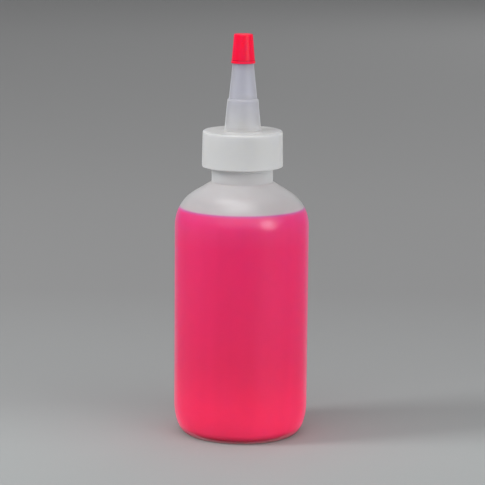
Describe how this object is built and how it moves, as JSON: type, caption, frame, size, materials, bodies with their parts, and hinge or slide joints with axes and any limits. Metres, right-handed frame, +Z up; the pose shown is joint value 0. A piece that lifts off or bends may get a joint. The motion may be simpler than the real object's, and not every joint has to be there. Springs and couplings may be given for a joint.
{
  "type": "glue applicator bottle",
  "caption": "Round translucent squeeze bottle of liquid glue with a screw-on conical applicator spout and a small push-on sealer tip.",
  "frame": {"origin": "on the bottle's axis, at the plane of the standing ring it stands on", "axes": "+Z up along the bottle's axis towards the spout; X and Y are interchangeable"},
  "size_m": [0.0476, 0.0476, 0.1431],
  "materials": {
    "natural_bottle": "milky natural LDPE, soft satin",
    "pink_liquid": "pink water-thin liquid seen through the wall",
    "natural_closure": "milky natural LDPE, satin",
    "red_tip": "red LDPE, soft gloss"
  },
  "bodies": {
    "bottle": {"bottle": "natural_bottle", "liquid_fill": "pink_liquid"},
    "closure_carrier": {"plug_seal": "natural_closure"},
    "closure": {"spout_closure": "natural_closure"},
    "tip": {"sealer_tip": "red_tip"}
  },
  "joints": [
    {"name": "closure_lift", "type": "slide", "parent": "bottle", "child": "closure_carrier", "axis": [0, 0, 1], "range_m": [0, 0.01588]},
    {"name": "closure_turn", "type": "hinge", "parent": "closure_carrier", "child": "closure", "pos_m": [0, 0, 0.103], "axis": [0, 0, 1], "range_deg": [0, 1800]},
    {"name": "tip_pull", "type": "slide", "parent": "closure", "child": "tip", "axis": [0, 0, 1], "range_m": [0, 0.025]}
  ],
  "couplings": [
    {"joint": "closure_lift", "follows": "closure_turn", "m_per_rad": 0.00050532}
  ]
}
